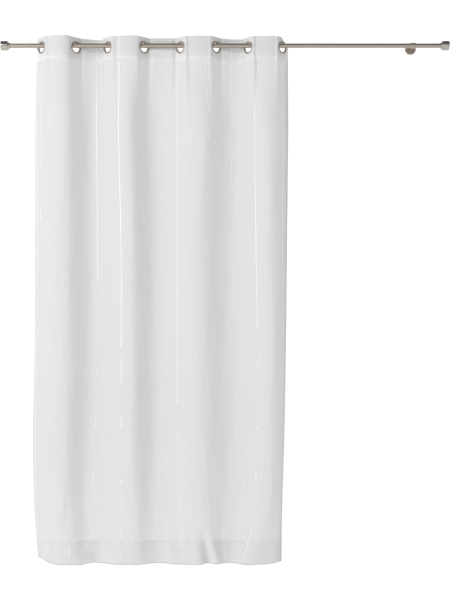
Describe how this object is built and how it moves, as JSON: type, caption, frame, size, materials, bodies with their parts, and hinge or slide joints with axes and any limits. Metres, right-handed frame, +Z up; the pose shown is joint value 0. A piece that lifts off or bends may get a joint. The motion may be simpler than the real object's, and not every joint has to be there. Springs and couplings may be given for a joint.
{
  "type": "eyelet curtain on rod",
  "caption": "Sheer white eyelet curtain hanging in soft folds from a round metal rod, with drum-shaped end caps and wall brackets.",
  "frame": {"origin": "centre of the back face of the right wall plate, where it meets the wall", "axes": "+X along the rod to the right as seen from the room, +Y into the wall, +Z up"},
  "size_m": [2.05, 0.1117, 2.4133],
  "materials": {
    "voile": "sheer plain weave with satin thread stripes",
    "heading_band": "doubled and stiffened sheer weave",
    "eyelet_metal": "satin nickel",
    "rod_metal": "satin nickel",
    "cap_metal": "polished nickel"
  },
  "bodies": {
    "root": {"panel": "voile", "heading": "heading_band", "eyelet_front_1": "eyelet_metal", "eyelet_front_2": "eyelet_metal", "eyelet_front_3": "eyelet_metal", "eyelet_front_4": "eyelet_metal", "eyelet_front_5": "eyelet_metal", "eyelet_front_6": "eyelet_metal", "eyelet_front_7": "eyelet_metal", "eyelet_front_8": "eyelet_metal", "eyelet_back_1": "eyelet_metal", "eyelet_back_2": "eyelet_metal", "eyelet_back_3": "eyelet_metal", "eyelet_back_4": "eyelet_metal", "eyelet_back_5": "eyelet_metal", "eyelet_back_6": "eyelet_metal", "eyelet_back_7": "eyelet_metal", "eyelet_back_8": "eyelet_metal", "rod": "rod_metal", "cap_left": "cap_metal", "cap_right": "cap_metal", "wall_plate_left": "rod_metal", "arm_left": "rod_metal", "rod_ring_left": "rod_metal", "set_screw_left": "rod_metal", "wall_plate_right": "rod_metal", "arm_right": "rod_metal", "rod_ring_right": "rod_metal", "set_screw_right": "rod_metal"}
  },
  "joints": []
}
